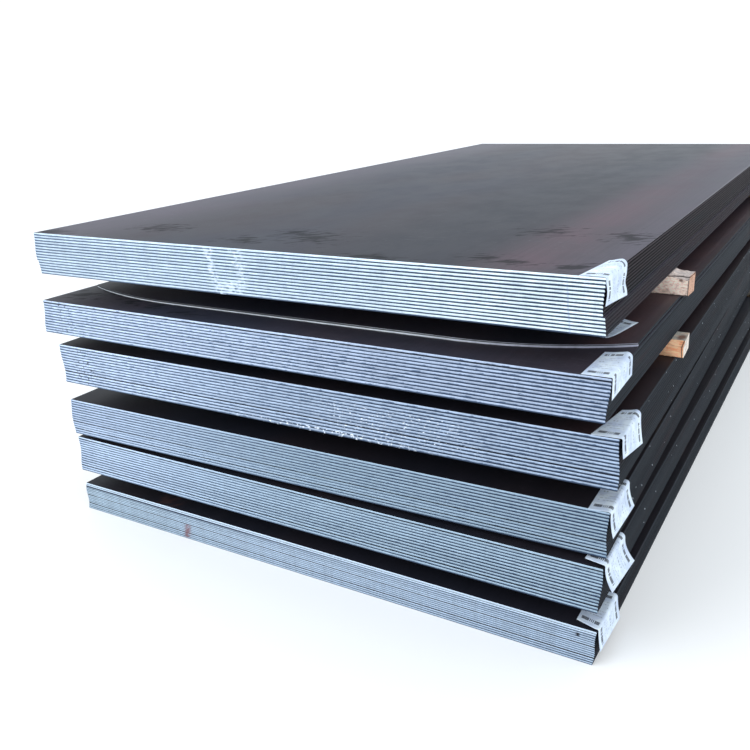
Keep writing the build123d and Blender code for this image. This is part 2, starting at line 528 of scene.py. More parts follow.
def plateMesh(name, size, frontLine=straightFront):
    ends, sides = plateShape["endSegments"], plateShape["sideSegments"]
    thickness = size[2]
    rows = plateRows(thickness)
    around = 2 * (ends + sides)
    points, stations = [], []
    for z in rows:
        ring = plateRing(z, size, frontLine)
        left = ring[0][0]
        points += [(x, y, z) for x, y in ring]
        stations += [stationMarks(i, x - left, z, thickness) for i, (x, _) in enumerate(ring)]
    faces, zones = [], []
    for k in range(len(rows) - 1):
        for i in range(around):
            j = (i + 1) % around
            low, high = k * around, (k + 1) * around
            faces.append((low + i, low + j, high + j, high + i))
            zones.append(ringZone(i, rows[k], rows[k + 1], thickness))
    topStart = (len(rows) - 1) * around
    for strip in capStrips(ends, sides):
        faces.append([topStart + i for i in strip])
        faces.append(list(reversed(strip)))
        zones += [zoneFace, zoneFace]
    mesh = bpy.data.meshes.new(name)
    mesh.from_pydata(points, [], faces)
    mesh.attributes.new("zone", "INT", "FACE").data.foreach_set("value", zones)
    for key in stations[0]:
        values = [marks[key] for marks in stations]
        mesh.attributes.new(key, "FLOAT", "POINT").data.foreach_set("value", values)
    smoothShade(mesh, plateShape["sharpAngle"])
    return mesh


def ringZone(i, low, high, thickness):
    ends = plateShape["endSegments"]
    sides = plateShape["sideSegments"]
    torn = plateShape["fractureHeight"] + 1e-6
    if ends <= i < ends + sides or i >= 2 * ends + sides:
        return zoneEdge
    head, foot = (high, low) if i < ends else (thickness - low, thickness - high)
    if head <= torn:
        return zoneTorn
    scaleFrom = thickness - plateShape["scaledRoll"] * plateShape["rollover"] - 1e-6
    return zoneFace if foot >= scaleFrom else zoneLand


def capStrips(ends, sides):
    # long strips from the front to the back; the outer two take in the side stations
    backStart = ends + sides
    leftStart = 2 * ends + sides
    strips = []
    for i in range(ends):
        strip = [i, i + 1]
        if i == ends - 1:
            strip += list(range(ends + 1, backStart))
        strip += [backStart + ends - i - 1, backStart + ends - i]
        if i == 0:
            strip += list(range(leftStart + 1, leftStart + sides))
        strips.append(strip)
    return strips


tearInputs = ("tearBase", "tearHeight", "tearPitch", "tearClimb", "tearCorner", "tornDepth", "seed")
finishInputs = ("faceFinish", "landFinish", "tornFinish", "edgeFinish")
tearLook = {
    "plateStep": 7.3,  # how far apart the noise of two plates lies
    "ragged": 1.2,
    "raggedDetail": 3.0,
    "drift": 1.6,
    "driftDetail": 1.0,
    "driftScale": 5.0,
    "driftPlace": 4.0,
    "gritDetail": 2.0,
    "gritRise": 900.0,
    "gritScale": 3.0,
}


def packTree():
    # Seats in, a whole pack out. The tear line and the torn band differ from plate to plate.
    look = tearLook
    tree = bpy.data.node_groups.new("plate pack", "GeometryNodeTree")
    kinds = {"seats": "Geometry", "plate": "Object", "yaw": "Float"}
    kinds.update({name: "Float" for name in tearInputs})
    kinds.update({name: "Material" for name in finishInputs})
    for name, kind in kinds.items():
        tree.interface.new_socket(name, in_out="INPUT", socket_type="NodeSocket" + kind)
    tree.interface.new_socket("pack", in_out="OUTPUT", socket_type="NodeSocketGeometry")
    graph = Graph(tree)
    given = graph.node("NodeGroupInput").outputs

    def named(name, kind="FLOAT"):
        node = graph.node("GeometryNodeInputNamedAttribute", {"Name": name}, data_type=kind)
        return node.outputs["Attribute"]

    def uneven(where, detail, scale=1.0):
        return graph.minus(graph.noise(where, detail, scale=scale), 0.5)

    plate = graph.node("GeometryNodeObjectInfo", {"Object": given["plate"]}).outputs["Geometry"]
    seats = graph.out("GeometryNodeMeshToPoints", {0: given["seats"]})
    turn = graph.out("FunctionNodeEulerToRotation", {0: graph.vector(0.0, 0.0, given["yaw"])})
    laid = graph.out("GeometryNodeInstanceOnPoints", {"Points": seats, "Instance": plate, "Rotation": turn})
    whole = graph.out("GeometryNodeRealizeInstances", {0: laid})

    x, _, z = graph.parts(graph.out("GeometryNodeInputPosition"))
    number = graph.plus(graph.times(named("plateIndex"), look["plateStep"]), given["seed"])
    run = graph.calc("DIVIDE", x, given["tearPitch"])
    tear = graph.times(uneven(graph.vector(run, number, 0.0), look["raggedDetail"]), look["ragged"])
    drift = uneven(graph.vector(x, number, look["driftPlace"]), look["driftDetail"], look["driftScale"])
    tear = graph.plus(tear, graph.times(drift, look["drift"]))
    tear = graph.plus(graph.times(tear, given["tearHeight"]), given["tearBase"])
    climb = graph.ease(x, plateShape["climbFrom"], plateShape["climbTo"])
    tear = graph.plus(tear, graph.times(climb, given["tearClimb"]))
    tear = graph.plus(tear, graph.times(named("corner"), given["tearCorner"]))
    most = plateShape["tearMost"]
    tear = graph.calc("MINIMUM", graph.calc("MAXIMUM", tear, -most), most)
    grit = graph.vector(run, number, graph.times(z, look["gritRise"]))
    grit = graph.noise(grit, look["gritDetail"], scale=look["gritScale"])
    dent = graph.times(grit, given["tornDepth"], named("rough"))
    offset = graph.vector(0.0, dent, graph.times(tear, named("ragged")))
    last = graph.out("GeometryNodeSetPosition", {"Geometry": whole, "Offset": offset})

    for finish, zone in zip(finishInputs, (None, zoneLand, zoneTorn, zoneEdge)):
        coat = graph.node("GeometryNodeSetMaterial", {"Geometry": last, "Material": given[finish]})
        if zone is not None:
            inputs = {2: named("zone", "INT"), 3: zone}
            same = graph.out("FunctionNodeCompare", inputs, data_type="INT", operation="EQUAL")
            graph.feed(coat.inputs["Selection"], same)
        last = coat.outputs[0]
    graph.node("NodeGroupOutput", {0: last})
    return tree


def runTree(piece, tree, values):
    modifier = piece.modifiers.new(tree.name, "NODES")
    modifier.node_group = tree
    for item in tree.interface.items_tree:
        if item.in_out == "INPUT" and item.name in values:
            modifier[item.identifier] = values[item.name]
    bakeModifiers(piece)


def packSeats(plates, look):
    # a point for each plate, with what differs from plate to plate
    seats = bpy.data.meshes.new("seats")
    seats.from_pydata([(item["middle"].x, item["middle"].y, item["bottom"]) for item in plates], [], [])
    chance = random.Random(look["seed"])
    tones = [chance.uniform(1 - look["unlike"], 1.0) for _ in plates]
    tones[-1] = look["topTone"]
    # how much painted shade lies between the plates at the sides
    gapShades = [look["flushGapShade"] if i < look["flush"] else look["groove"] for i in range(len(plates))]
    gaps = [above["bottom"] - below["top"] for below, above in zip(plates, plates[1:])]
    # plates over an open gap get painted shade on their torn band
    openGapShades = [1.0] + [look["seam"] if gap > min(gaps) + look["openGap"] else 1.0 for gap in gaps]
    marks = {"plateIndex": range(len(plates)), "tone": tones, "groove": gapShades, "seam": openGapShades}
    for key, values in marks.items():
        seats.attributes.new(key, "FLOAT", "POINT").data.foreach_set("value", values)
    return seats


def makePack(number, tree, look):
    node = f"plate_pack_{number}"
    plates = readIslands(node, 1)
    blank = addObject("blankPlate", plateMesh("blankPlate", plates[0]["size"]))
    piece = addObject(f"platePack{number}", packSeats(plates, look))
    runTree(piece, tree, {
        **{name: float(look[name]) for name in tearInputs},
        "plate": blank,
        "yaw": plates[0]["turn"],
        "faceFinish": scaleFinish(f"millScale{number}", look["scaleShadeTone"], **look["scaleMarks"]),
        "landFinish": landFinish(f"burnishedEnd{number}", look),
        "tornFinish": tornFinish(f"tornEnd{number}", look),
        "edgeFinish": edgeFinish(f"millEdge{number}", look),
    })
    for name in ("plateIndex", "ragged", "rough", "corner", "zone"):
        if name in piece.data.attributes:
            piece.data.attributes.remove(piece.data.attributes[name])
    bpy.data.objects.remove(blank)
    dressPiece(piece, node)
    print("pack", number, "plates", len(plates), "faces", len(piece.data.polygons))
    return plates


def endMark(x, z, reach, colour, **more):
    mark = {"x": x, "z": z, "reach": reach, "colour": colour, "core": 0.0, "tall": 0.2, "lean": 0.0,
            "wobble": 0.0, "grain": 200.0, "cut": (0.35, 0.6), "share": 1.0, **more}
    mark.setdefault("grainZ", mark["grain"])
    return mark


def smudge(x, y, z, width, depth, **more):
    # in short strokes that run a little aslant across the plate
    spot = {"centre": (x, y, z), "size": (0.9 * width, depth, 1.0), "ragged": 2.4}
    return {**spot, "stroke": (0.034, 0.011, 1.0), "turn": 0.6, "sparse": 0.3, **more}


def smudgeRow(z, *spots):
    return tuple(smudge(x, y, z, width, depth) for x, y, width, depth in spots)


chalk = srgb(214, 228, 245)
chip = srgb(236, 244, 255)
soot = srgb(30, 34, 42)
rustStain = srgb(136, 98, 104)
brightBand = srgb(212, 230, 248)
navy = srgb(34, 42, 66)
inkBlue = srgb(112, 130, 178)

packBase = {
    "seed": 1,
    "unlike": 0.16,
    "topTone": 1.06,
    "tearBase": 0.0,
    "tearHeight": 0.9 * mm,
    "tearPitch": 26 * mm,
    "tearClimb": 0.25 * mm,
    "tearCorner": 0.8 * mm,
    "tornDepth": 0.25 * mm,
    "contrast": 0.17,
    "upright": 0.5,
    "beads": 0.9,
    "broken": 1.9,  # how uneven the dark line is
    "tornLeft": srgb(107, 128, 156),
    "tornRight": srgb(62, 81, 109),
    "tornFoot": 0.45,  # painted shade: how dark the torn band gets towards the plate's underside
    "lightTurnAt": (-0.62, 0.10),  # where the ends go from the left colour to the right one; both are painted light, one side lit brighter than the other
    "openGap": 0.2 * mm,  # more air than this under a plate gives its torn band painted shade
    "seam": 0.4,
    "marks": (),
    # painted shade: the scale on the lower packs' tops is a darker copy
    "scaleShadeTone": 0.4,
    "scaleMarks": {},
    "edgeTone": 0.88,
    "edgeWarm": -0.3,
    "specks": 0.0,  # share of the cells that show a fleck
    "flush": 0,  # this many plates at the bottom lie flush, with hardly a line between them
    # painted shade between the plates at the sides, for the flush plates and for the rest
    "flushGapShade": 0.55,
    "groove": 0.3,
    "valley": (0.35, 1.0),  # how wide the painted shade lines between the plates are at the sides
}
# left and right, like tornLeft and tornRight, are painted light on the ends, brighter on one side than the
# other
packLooks = {
    1: {
        "seed": 11,
        "topTone": 1.15,
        "tearBase": -0.5 * mm,  # thin plates tear less
        "tearHeight": 0.2 * mm,
        "tornLeft": srgb(146, 168, 190),
        "tornRight": srgb(122, 144, 172),
        "tornFoot": 0.4,
        "seam": 0.06,
        "broken": 0.2,
        "contrast": 0.2,
        "upright": 0.7,
        "beads": 0.2,
        "left": srgb(184, 205, 222),
        "right": srgb(190, 209, 230),
        "marks": (
            endMark(-0.302, 0.020, 0.014, rustStain, tall=0.020, lean=0.25, cut=(0.3, 0.5), share=0.9),
            endMark(0.0, 0.0664, 1.4, brightBand, core=0.7, tall=0.0044, cut=(0.0, 0.1), share=0.75),
            endMark(-0.6, 0.0601, 0.8, navy, core=0.35, tall=0.0019, cut=(0.0, 0.1), share=0.95),
            endMark(0.595, 0.055, 0.006, soot, tall=0.004, cut=(0.2, 0.4)),
        ),
        "scaleMarks": {"rust": (smudge(-0.372, -1.218, 0.069, 0.06, 0.05),)},
    },
    2: {
        "seed": 12,
        "left": srgb(197, 217, 243),
        "right": srgb(168, 191, 210),
        "broken": 1.1,
        "contrast": 0.13,
        "beads": 0.5,
        "marks": (endMark(-0.545, 0.155, 0.05, chalk, tall=0.05, grain=140.0, cut=(0.62, 0.70)),),
        "specks": 0.07,
    },
    3: {
        "seed": 13,
        "left": srgb(188, 206, 232),
        "right": srgb(157, 179, 198),
        "broken": 1.1,
        "contrast": 0.13,
        "beads": 0.5,
        "marks": (endMark(-0.565, 0.235, 0.06, chalk, tall=0.05, grain=140.0, cut=(0.62, 0.70)),),
        "specks": 0.09,
    },
    4: {
        "seed": 14,
        "left": srgb(206, 224, 251),
        "right": srgb(174, 192, 217),
        "marks": (
            endMark(0.25, 0.382, 0.22, chip, core=0.08, tall=0.034, grain=210.0, grainZ=330.0,
                    cut=(0.61, 0.645)),
            endMark(0.10, 0.345, 0.26, chip, core=0.1, tall=0.007, grain=170.0, cut=(0.56, 0.60)),
            endMark(-0.535, 0.385, 0.05, soot, core=0.01, tall=0.05, grain=170.0, cut=(0.56, 0.66)),
        ),
        "scaleMarks": {"bands": ({"x": 0.60, "reach": 0.10, "share": 0.45, "colour": "rust"},)},
        "specks": 0.08,
    },
    5: {
        "seed": 15,
        "left": srgb(201, 218, 244),
        "right": srgb(174, 189, 214),
        "lightTurnAt": (-0.62, 0.35),
        "marks": (
            endMark(-0.56, 0.50, 0.06, soot, core=0.01, tall=0.05, grain=170.0, cut=(0.58, 0.68)),
            endMark(-0.52, 0.475, 0.06, chalk, tall=0.02, grain=150.0, cut=(0.58, 0.68)),
        ),
        "scaleShadeTone": 1.0,
        "scaleMarks": {
            "smudges": smudgeRow(
                0.535,
                (-0.563, -1.216, 0.07, 0.05),
                (-0.408, -1.225, 0.06, 0.03),
                (-0.321, -1.228, 0.06, 0.03),
                (-0.236, -1.250, 0.06, 0.02),
            ),
        },
    },
    6: {
        "seed": 16,
        "left": srgb(202, 220, 237),
        "right": srgb(230, 246, 254),
        "broken": 0.6,
        "lightTurnAt": (0.05, 0.60),
        "contrast": 0.16,
        "scaleShadeTone": 1.0,
        "edgeTone": 1.4,
        "edgeWarm": 0.5,
        "tearClimb": 0.12 * mm,
        "flush": 5,
        "groove": 0.95,
        "valley": (0.10, 0.70),
        "marks": (
            endMark(-0.134, 0.626, 0.015, chalk, core=0.002, tall=0.055, lean=-0.32, wobble=0.06, grain=130.0,
                    cut=(0.42, 0.58), share=0.8),
            endMark(-0.072, 0.645, 0.020, chalk, core=0.002, tall=0.045, lean=-0.12, wobble=0.06, grain=110.0,
                    grainZ=190.0, cut=(0.46, 0.60), share=0.75),
            endMark(-0.092, 0.604, 0.034, chalk, core=0.008, tall=0.014, wobble=0.04, grain=110.0,
                    grainZ=190.0, cut=(0.40, 0.56), share=0.75),
            endMark(-0.15, 0.675, 0.08, chalk, core=0.05, tall=0.005, grain=90.0, cut=(0.60, 0.66)),
            endMark(0.555, 0.6305, 0.0022, inkBlue, core=0.0006, tall=0.07, lean=-0.10, grain=60.0,
                    cut=(0.2, 0.5), share=0.3),
        ),
        "scaleMarks": {
            "bands": (
                {"x": 0.24, "reach": 0.30, "share": 0.9, "colour": "deep"},
                {"x": 0.47, "reach": 0.12, "share": 0.75, "colour": "rose"},
                {"x": -0.66, "reach": 0.34, "share": 0.8, "colour": "pale"},
                {"x": 0.61, "reach": 0.14, "share": 0.6, "colour": "pale"},
            ),
            # the first, wider patch darkens the left front corner
            "smudges": (smudge(-0.635, -1.245, 0.679, 0.20, 0.07, ragged=0.6),) + smudgeRow(
                0.679,
                (-0.393, -1.122, 0.085, 0.06),
                (-0.007, -1.108, 0.11, 0.08),
                (-0.060, -1.078, 0.08, 0.05),
                (-0.122, -1.182, 0.07, 0.05),
                (0.207, -1.238, 0.10, 0.03),
                (0.407, -0.912, 0.09, 0.07),
                (0.558, -0.918, 0.06, 0.08),
                (0.391, -1.180, 0.06, 0.04),
                (0.443, -1.195, 0.06, 0.03),
                (0.552, -1.194, 0.06, 0.04),
            ),
        },
    },
}


def makePacks():
    tree = packTree()
    return {number: makePack(number, tree, {**packBase, **look}) for number, look in packLooks.items()}


# the loose plate with its bowed end

bowedEnd = {
    "setBack": 82 * mm,
    "leftReach": 283 * mm,
    "leftDepth": 58 * mm,
    "rightReach": 295 * mm,
    "rightDepth": 90 * mm,
    "length": 2500 * mm,
    # painted light: left and right are the highlight's colours along the end, dark is painted shade
    "left": srgb(240, 248, 255),
    "right": srgb(184, 186, 204),
    "dark": srgb(44, 46, 54),
    "lightTurnAt": (0.15, 0.58),
    "wear": ((60, 60, 1.0), 4.0, 0.65),
    "wearRise": 0.16,
    "wearTone": (0.3, 0.65, 0.9, 1.2),
    "headAt": (-0.2, 0.5, 0.40, 0.62),  # the painted highlight line is higher towards the right
    "footStep": (0.06, 0.12),
    "headStep": (0.0, 0.05, 0.0, 0.97),
    "upperStep": (0.92, 0.96),
    "upperFrom": (-0.1, 0.3),
    "upperDark": 0.45,
    "rough": 0.45,
    "metal": 0.15,
    "relief": (0.2 * mm, 0.5),
    # painted shade: the loose plate lies under pack 6, its scale a darker copy
    "scaleShadeTone": 0.8,
    "bands": (
        {"x": 0.46, "reach": 0.14, "share": 0.9, "colour": "deep"},
        {"x": 0.59, "reach": 0.08, "share": 0.6, "colour": "rust"},
    ),
    "edgeTone": 1.0,
    "groove": 0.4,
}


def bowFinish(name):
    # rolled, not cut: painted light in bands by height, painted shade at the very foot, a painted highlight
    # line above it, painted shade over that and a faint highlight along the top
    look = bowedEnd
    skin = Finish(name)
    wear = skin.cloud(*look["wear"])
    level = skin.plus(skin.attribute("height"), skin.times(wear, look["wearRise"]))
    head = skin.minus(level, skin.ease(skin.x, *look["headAt"]))
    bright = skin.blend(skin.ease(skin.x, *look["lightTurnAt"]), look["left"], look["right"])
    bright = skin.scaled(bright, skin.ease(wear, *look["wearTone"]))
    faint = skin.blend(look["upperDark"], bright, look["dark"])
    colour = skin.blend(skin.ease(level, *look["footStep"]), look["dark"], bright)
    colour = skin.blend(skin.ease(head, *look["headStep"]), colour, look["dark"])
    upper = skin.times(skin.ease(level, *look["upperStep"]), skin.ease(skin.x, *look["upperFrom"]))
    colour = skin.blend(upper, colour, faint)
    skin.set(Base_Color=colour, Roughness=look["rough"], Metallic=look["metal"])
    skin.set(Normal=skin.bump(wear, *look["relief"]))
    return skin.material


def bowLine(x, half):
    # straight in the middle, an arc towards each side
    left = max(0.0, -half + bowedEnd["leftReach"] - x)
    right = max(0.0, x - half + bowedEnd["rightReach"])
    away, reach, depth = left, bowedEnd["leftReach"], bowedEnd["leftDepth"]
    if right > 0:
        away, reach, depth = right, bowedEnd["rightReach"], bowedEnd["rightDepth"]
    radius = (reach ** 2 + depth ** 2) / (2 * depth)
    return bowedEnd["setBack"] + radius - math.sqrt(radius ** 2 - away ** 2)


def makeLoosePlate():
    look = bowedEnd
    island = readIslands("loose_plate", 1)[0]
    length = look["length"]
    width, thickness = island["size"].x, island["size"].z
    mesh = plateMesh("loosePlate", (width, length, thickness), lambda x: bowLine(x, width / 2))
    for key, value in (("tone", 1.0), ("groove", look["groove"])):
        mesh.attributes.new(key, "FLOAT", "POINT").data.foreach_set("value", [value] * len(mesh.vertices))
    zones = [item.value for item in mesh.attributes["zone"].data]
    for name in ("zone", "ragged", "rough", "corner"):
        mesh.attributes.remove(mesh.attributes[name])
    bow = bowFinish("rolledBow")
    for material in (
        scaleFinish("millScaleLoose", look["scaleShadeTone"], bands=look["bands"]),
        bow,
        bow,
        edgeFinish("millEdgeLoose", {**packBase, "edgeTone": look["edgeTone"]}),
    ):
        mesh.materials.append(material)
    mesh.polygons.foreach_set("material_index", zones)
    turn = Matrix.Rotation(island["turn"], 4, "Z")
    middle = island["middle"] + turn @ Vector((0, (island["size"].y - length) / 2, 0))
    middle.z = island["bottom"]
    mesh.transform(Matrix.Translation(middle) @ turn)
    dressPiece(addObject("loosePlate", mesh), "loose_plate")
    print("loose plate faces", len(mesh.polygons))


# timber bearers: rough sawn, with a bark edge, splits and uneven saw cuts

woodSawn, woodEnd, woodWeathered = range(3)
timberBase = {
    "wane": (6, 8),
    "split": 0.5,
    "pale": srgb(176, 146, 116),
    "dark": srgb(124, 96, 74),
    "grey": srgb(146, 136, 126),
    "weathered": srgb(128, 122, 114),
    "endPale": srgb(186, 156, 126),
    "endDark": srgb(128, 98, 76),
    "endDrop": 0.0,  # how much lower the top is where the right end stands out
    "endSlant": 0.0,  # above 0 the right end's back corner is cut away, below 0 its front corner
    "toe": 0.0,  # how far back the lower front edge lies
    # tone scales the colour; above 1, on rows 4 and 5, it is painted light
    "tone": 1.0,
    "stripes": 0.45,
    "endStripes": 0.45,
    "fibres": 0.7,
    "blotches": 0.3,
    "fuzz": 0.7,  # how dark the hollows between the fibres are
    "cornerDirt": 0.0,  # a darker line along the corner between the front and the right end
    "stains": 0.6,
    # how strong the painted shade along the split is
    "splitShare": 1.0,
    "upperGrey": 0.0,  # the strip above the split
    "upperTone": 1.0,
    "knots": (),
    "waneKind": woodWeathered,
}
timberLooks = {
    1: {},
    2: {"wane": (3, 4)},
    3: {"wane": (7, 10), "split": 0.4},
    4: {
        "wane": (26, 7),
        "toe": 9 * mm,
        "split": 0.80,
        "splitShare": 0.35,
        "upperTone": 0.84,
        "waneKind": woodSawn,
        "pale": srgb(252, 200, 158),
        "dark": srgb(228, 146, 104),
        "grey": srgb(255, 192, 152),
        "weathered": srgb(150, 147, 138),
        "endPale": srgb(212, 202, 192),
        "endDark": srgb(168, 154, 142),
        "stripes": 0.06,
        "endStripes": 0.2,
        "fibres": 0.35,
        "blotches": 0.8,
        "fuzz": 0.78,
        "cornerDirt": 0.8,
        "stains": 0.1,
        "tone": 1.42,
        "endSlant": 0.055,
        "knots": ((0.640, -0.785, 0.4624, 0.012),),
    },
    5: {
        "wane": (5, 9),
        "split": 0.80,
        "upperGrey": 0.6,
        "pale": srgb(250, 225, 209),
        "dark": srgb(204, 172, 154),
        "grey": srgb(246, 220, 206),
        "weathered": srgb(204, 190, 184),
        "endPale": srgb(194, 154, 132),
        "endDark": srgb(152, 112, 92),
        "stripes": 0.06,
        "endStripes": 0.2,
        "fibres": 0.4,
        "blotches": 0.6,
        "fuzz": 0.64,
        "cornerDirt": 0.8,
        "stains": 0.35,
        "tone": 1.36,
        "endDrop": 7 * mm,
        "endSlant": -0.045,
        "knots": ((0.626, -0.768, 0.572, 0.006),),
    },
}
timberShape = {
    "stations": 110,
    "sideSteps": 9,
    "cornerRadius": 1.4 * mm,
    "roundMost": 0.3,  # share of a side that a rounded corner may take
    "sharpAngle": 40,
    "seedSpread": 50,
    "pithAside": (-20 * mm, 50 * mm),
    "pithBelow": (10 * mm, 50 * mm),
    "uneven": 0.9 * mm,
    "bend": (14, 60, 60),  # waves to the metre along X, Y and Z
    "bendShare": 0.5,
    "fine": (70, 160, 160),
    "fineShare": 0.45,
    "barkShare": 0.8,
    "barkUneven": 0.45,
    "barkPitch": 16,
    "splitDepth": 1.5 * mm,
    "splitReach": 300 * mm,
    "splitLeast": 0.5,
    "chips": 3.0 * mm,  # broken out of the lower front edge
    "chipHeight": 5.0 * mm,
    "chipPitch": 190,
    "notchPitch": 60,
    "notchShare": 0.6,
    "backTone": 0.55,  # the back timbers are darker
    "endSlope": 0.012,
    "endPower": 8,  # how soon the end's slope fades along the timber
    "dropFrom": 0.598,
    "dropTo": 0.622,
    "dropUneven": 0.25,
    "dropPitch": 160,
}
sideTop, sideBack, sideBottom, sideFront, sideWane = range(5)
timberGrain = {
    "bark": srgb(70, 54, 46),
    "shadeColour": srgb(38, 28, 24),
    "knotColour": srgb(92, 58, 44),
    "ringRate": 1300.0,  # radians to the metre from the pith
    "wander": ((2.5, 9, 9), 3.0, 0.5),
    "wanderY": 50 * mm,
    "wanderZ": 35 * mm,
    "fibre": ((14, 420, 420), 4.0, 0.6),
    "weather": ((34, 60, 60), 5.0, 0.65),
    "saw": ((420, 6, 30), 2.0, 0.5),
    "blotch": ((42, 55, 70), 4.0, 0.6, (0.3, 0.7, 0.1)),
    "stain": ((60, 130, 130), 4.0, 0.65),
    "fuzz": ((150, 230, 230), 4.0, 0.7, (0.9, 0.2, 0.4)),
    "jagged": ((160, 1.0, 1.0), 3.0, 0.6),
    "splitLine": ((30, 0.0, 0.0), 4.0, 0.6),
    "ringStep": (-0.2, 1.0),
    "blotchStep": (0.46, 0.62),
    "fibreStep": (0.52, 0.74),
    "greyStep": (0.46, 0.64, 0.0, 0.6),
    "weatherStep": (0.30, 0.56, 0.55, 1.0),
    "stainStep": (0.60, 0.72),
    "weatheredStains": 0.7,
    "fuzzStep": (0.36, 0.60),
    "upperFade": 2 * mm,
    "footWear": 7 * mm,
    "wearStep": (1 * mm, -1 * mm, 0.0, 0.8),
    "footShadowWander": 4.5 * mm,
    "footShadowStep": (1.2 * mm, 0.2 * mm, 0.0, 0.85),
    "cornerInset": 1.5 * mm,
    "cornerWander": 5 * mm,
    "cornerStep": (1.8 * mm, 0.6 * mm),
    "knotSpread": (1.0, 2.0, 0.7),
    "knotRagged": 0.25,
    "knotStroke": (4 * mm, 4 * mm, 4 * mm),
    "knotShare": 0.85,
    "splitWander": 6 * mm,
    "splitStep": (1.3 * mm, 0.39 * mm),
    "rough": 0.86,
    "gloss": 0.2,
    "ringHeight": 0.25,
    "fibreHeight": 0.9,
    "sawHeight": 0.6,
    "relief": (0.8 * mm, 0.9),
}


def ringPattern(skin, look):
    # growth rings about a pith below the timber: stripes on the sides, arcs on the ends
    grain = timberGrain
    wander = skin.cloud(*grain["wander"])
    y = skin.minus(skin.plus(skin.y, skin.times(wander, grain["wanderY"])), look["pithY"])
    z = skin.minus(skin.plus(skin.z, skin.times(wander, grain["wanderZ"])), look["pithZ"])
    reach = skin.calc("SQRT", skin.plus(skin.times(y, y), skin.times(z, z)))
    return skin.calc("SINE", skin.times(reach, grain["ringRate"]))


def edgeWearAndShade(skin, colour, look):
    # a jagged pale foot with a painted shadow line under it, and a darker line along the right front corner
    grain = timberGrain
    jagged = skin.cloud(*grain["jagged"])
    over = skin.minus(skin.minus(skin.z, look["footZ"]), skin.times(jagged, grain["footWear"]))
    colour = skin.blend(skin.ease(over, *grain["wearStep"]), colour, look["pale"])
    # painted shadow: a dark line where the timber's foot stands off the plate
    overShadow = skin.plus(over, skin.times(jagged, grain["footShadowWander"]))
    colour = skin.blend(skin.ease(overShadow, *grain["footShadowStep"]), colour, grain["shadeColour"])
    aside = skin.plus(skin.minus(skin.x, look["cornerX"]), skin.times(jagged, grain["cornerWander"]))
    corner = skin.ease(skin.calc("ABSOLUTE", aside), *grain["cornerStep"], 0.0, look["cornerDirt"])
    return skin.blend(corner, colour, grain["bark"])


def splitLine(skin, look):
    # painted shade in a crack that runs in from the ends
    grain = timberGrain
    wander = skin.times(skin.minus(skin.cloud(*grain["splitLine"]), 0.5), grain["splitWander"])
    over = skin.minus(skin.minus(skin.z, look["splitZ"]), wander)
    opened = skin.ease(skin.attribute("nearEnd"), 0.0, 0.5, 0.0, look["splitShare"])
    return skin.times(skin.ease(skin.calc("ABSOLUTE", over), *grain["splitStep"]), opened)


def timberFinish(name, look, kind):
    grain = timberGrain
    skin = Finish(name)
    rings = ringPattern(skin, look)
    fibre, weather, saw, blotch = skin.clouds(grain, "fibre", "weather", "saw", "blotch")
    stain, fuzz = skin.clouds(grain, "stain", "fuzz")
    keys = ("endPale", "endDark", "endStripes") if kind == woodEnd else ("pale", "dark", "stripes")
    pale, dark, stripes = (look[key] for key in keys)
    colour = skin.blend(skin.ease(rings, *grain["ringStep"], 0.0, stripes), pale, dark)
    colour = skin.blend(skin.ease(blotch, *grain["blotchStep"], 0.0, look["blotches"]), colour, dark)
    colour = skin.blend(skin.ease(fibre, *grain["fibreStep"], 0.0, look["fibres"]), colour, dark)
    if kind != woodEnd:
        colour = skin.blend(skin.ease(weather, *grain["greyStep"]), colour, look["grey"])
    if kind == woodWeathered:
        colour = skin.blend(skin.ease(weather, *grain["weatherStep"]), colour, look["weathered"])
    elif kind == woodSawn:
        upper = skin.ease(skin.z, look["splitZ"], look["splitZ"] + grain["upperFade"])
        colour = skin.blend(skin.times(upper, look["upperGrey"]), colour, look["weathered"])
        colour = skin.scaled(colour, skin.ease(upper, 0.0, 1.0, 1.0, look["upperTone"]))
    stains = grain["weatheredStains"] if kind == woodWeathered else look["stains"]
    colour = skin.blend(skin.ease(stain, *grain["stainStep"], 0.0, stains), colour, grain["bark"])
    if kind == woodSawn:
        colour = edgeWearAndShade(skin, colour, look)
    for x, y, z, size in look["knots"]:
        spread = [size * share for share in grain["knotSpread"]]
        knot = skin.patch((x, y, z), spread, grain["knotRagged"], grain["knotStroke"])
        colour = skin.blend(skin.times(knot, grain["knotShare"]), colour, grain["knotColour"])
    # painted shade along the split
    colour = skin.blend(splitLine(skin, look), colour, grain["shadeColour"])
    # tone above 1 is painted light
    hollows = skin.ease(fuzz, *grain["fuzzStep"], look["fuzz"] * look["tone"], look["tone"])
    height = skin.plus(skin.times(rings, grain["ringHeight"]), skin.times(fibre, grain["fibreHeight"]))
    height = skin.plus(height, skin.times(saw, grain["sawHeight"]))
    skin.set(Base_Color=skin.scaled(colour, hollows), Roughness=grain["rough"])
    skin.set(Specular_IOR_Level=grain["gloss"], Normal=skin.bump(height, *grain["relief"]))
    return skin.material


def roundedSection(corners, steps, radius):
    # a closed outline with small rounds at its corners: (point, side that follows the corner)
    outline = []
    count = len(corners)
    most = timberShape["roundMost"]
    for i, corner in enumerate(corners):
        before, after = corners[i - 1], corners[(i + 1) % count]
        small = min(radius, most * (before - corner).length, most * (after - corner).length)
        start = corner + (before - corner).normalized() * small
        end = corner + (after - corner).normalized() * small
        outline += [(start, i), ((start + end) / 4 + corner / 2, i), (end, i)]
        stop = after + (corner - after).normalized() * min(radius, most * (after - corner).length)
        outline += [(end.lerp(stop, k / steps), i) for k in range(1, steps)]
    return outline


def softStep(value, low, high):
    share = min(1.0, max(0.0, (value - low) / (high - low)))
    return share * share * (3 - 2 * share)


def wave(seed, x, y=0.0, z=0.0):
    return noise.noise(Vector((x, y, z)) + seed)


